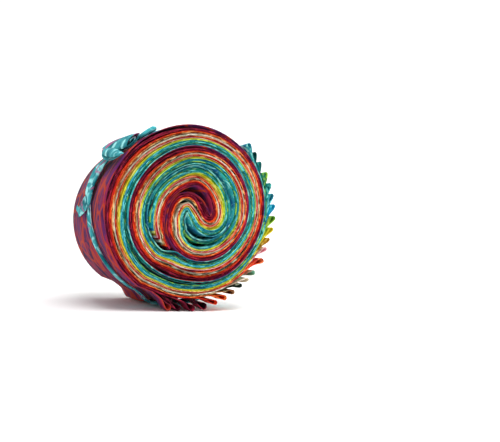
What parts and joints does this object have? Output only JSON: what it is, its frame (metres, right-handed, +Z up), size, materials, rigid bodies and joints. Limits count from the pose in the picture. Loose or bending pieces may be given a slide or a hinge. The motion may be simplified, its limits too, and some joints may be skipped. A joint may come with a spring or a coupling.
{
  "type": "fabric strip roll",
  "caption": "Roll of folded batik quilting strips, wound from an S in the middle, with folded ends fanned out round one side, tied with a strip of turquoise cloth.",
  "frame": {"origin": "on the table, under the middle of the whole part", "axes": "+Z up, +Y along the roll from the front face to the back face, -Y towards the viewer of the spiral face, +X to the right of that viewer"},
  "size_m": [0.0992, 0.0676, 0.0972],
  "materials": {
    "strip_stack": "matte",
    "strip_burgundy_dark": "matte",
    "strip_burgundy_wine": "matte",
    "strip_burgundy_rose": "matte",
    "strip_burgundy_plum": "matte",
    "strip_orange_flame": "matte",
    "strip_orange_red": "matte",
    "strip_rust": "matte",
    "strip_grey_green": "matte",
    "strip_cream_white": "matte",
    "strip_mint": "matte",
    "strip_coral": "matte",
    "strip_pink_white": "matte",
    "strip_ochre": "matte",
    "strip_yellow": "matte",
    "strip_lime": "matte",
    "strip_cyan": "matte",
    "strip_sky_blue": "matte",
    "strip_turquoise": "matte",
    "strip_sea_green": "matte",
    "strip_teal": "matte",
    "strip_teal_dark": "matte",
    "strip_aqua": "matte",
    "tie_cloth": "matte"
  },
  "bodies": {
    "root": {"wound_roll": "strip_stack", "fold_01_burgundy_dark": "strip_burgundy_dark", "fold_02_burgundy_wine": "strip_burgundy_wine", "fold_03_burgundy_rose": "strip_burgundy_rose", "fold_04_burgundy_plum": "strip_burgundy_plum", "fold_05_orange_flame": "strip_orange_flame", "fold_06_orange_red": "strip_orange_red", "fold_07_rust": "strip_rust", "fold_08_grey_green": "strip_grey_green", "fold_09_cream_white": "strip_cream_white", "fold_10_mint": "strip_mint", "fold_11_coral": "strip_coral", "fold_12_pink_white": "strip_pink_white", "fold_13_ochre": "strip_ochre", "fold_14_yellow": "strip_yellow", "fold_15_lime": "strip_lime", "fold_16_cyan": "strip_cyan", "fold_17_sky_blue": "strip_sky_blue", "fold_18_turquoise": "strip_turquoise", "fold_19_sea_green": "strip_sea_green", "fold_20_teal": "strip_teal", "fold_21_teal_dark": "strip_teal_dark", "fold_22_aqua": "strip_aqua", "tie_band": "tie_cloth", "tie_knot": "tie_cloth", "tie_tail_upper": "tie_cloth", "tie_tail_forked": "tie_cloth"}
  },
  "joints": []
}
